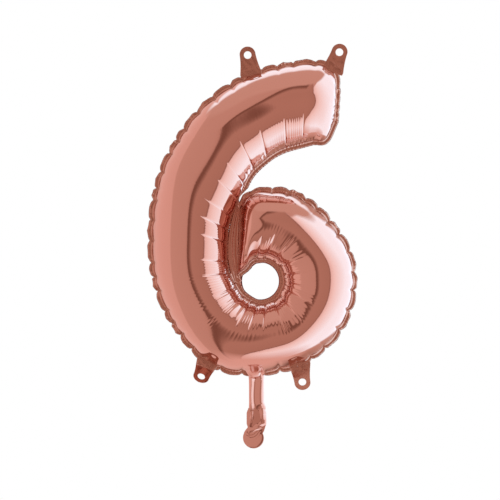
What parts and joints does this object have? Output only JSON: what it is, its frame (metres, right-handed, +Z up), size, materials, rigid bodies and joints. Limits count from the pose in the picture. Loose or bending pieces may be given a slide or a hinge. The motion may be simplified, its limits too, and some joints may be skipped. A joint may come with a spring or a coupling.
{
  "type": "foil number balloon",
  "caption": "Inflated metallic foil balloon in the shape of the digit six, with punched hanging tabs, a filling neck and a flat tail.",
  "frame": {"origin": "centre of the whole balloon's bounding box at rest", "axes": "+Z up the digit, +X to the reader's right, -Y the front of the digit; the two films meet near Y = 0"},
  "size_m": [0.2094, 0.062, 0.4046],
  "materials": {
    "foil": "metallised plastic film, mirror-like rose gold",
    "weld": "two metallised films heat-sealed flat",
    "valve_film": "thin clear polyethylene"
  },
  "bodies": {
    "balloon": {"front_foil": "foil", "back_foil": "foil", "edge_weld": "weld", "valve_front_film": "valve_film", "valve_back_film": "valve_film"},
    "neck": {"neck_front_film": "foil", "neck_back_film": "foil", "valve_lead_front": "valve_film", "valve_lead_back": "valve_film"},
    "tail_end": {"tail_front_film": "foil", "tail_back_film": "foil"},
    "tab_top_left": {"tab_top_left": "foil"},
    "tab_top_right": {"tab_top_right": "foil"},
    "tab_bottom_left": {"tab_bottom_left": "foil"},
    "tab_bottom_right": {"tab_bottom_right": "foil"}
  },
  "joints": [
    {"name": "neck_fold", "type": "hinge", "parent": "balloon", "child": "neck", "pos_m": [0.00419, 0, -0.13324], "axis": [1, 0, 0], "range_deg": [-95, 95]},
    {"name": "tail_crease", "type": "hinge", "parent": "neck", "child": "tail_end", "pos_m": [0.00419, 0, -0.16454], "axis": [1, 0, 0], "range_deg": [-80, 80]},
    {"name": "tab_top_left_fold", "type": "hinge", "parent": "balloon", "child": "tab_top_left", "pos_m": [-0.00233, 0, 0.17803], "axis": [-0.9848, 0, -0.1736], "range_deg": [-100, 100], "stiffness_Nm_per_rad": 0.0001},
    {"name": "tab_top_right_fold", "type": "hinge", "parent": "balloon", "child": "tab_top_right", "pos_m": [0.0826, 0, 0.18147], "axis": [-0.9397, 0, 0.342], "range_deg": [-100, 100], "stiffness_Nm_per_rad": 0.0001},
    {"name": "tab_bottom_left_fold", "type": "hinge", "parent": "balloon", "child": "tab_bottom_left", "pos_m": [-0.04746, 0, -0.12176], "axis": [0.9205, 0, -0.3907], "range_deg": [-50, 150], "stiffness_Nm_per_rad": 0.0001},
    {"name": "tab_bottom_right_fold", "type": "hinge", "parent": "balloon", "child": "tab_bottom_right", "pos_m": [0.04827, 0, -0.12388], "axis": [0.9903, 0, 0.1392], "range_deg": [-72, 128], "stiffness_Nm_per_rad": 0.0001}
  ]
}
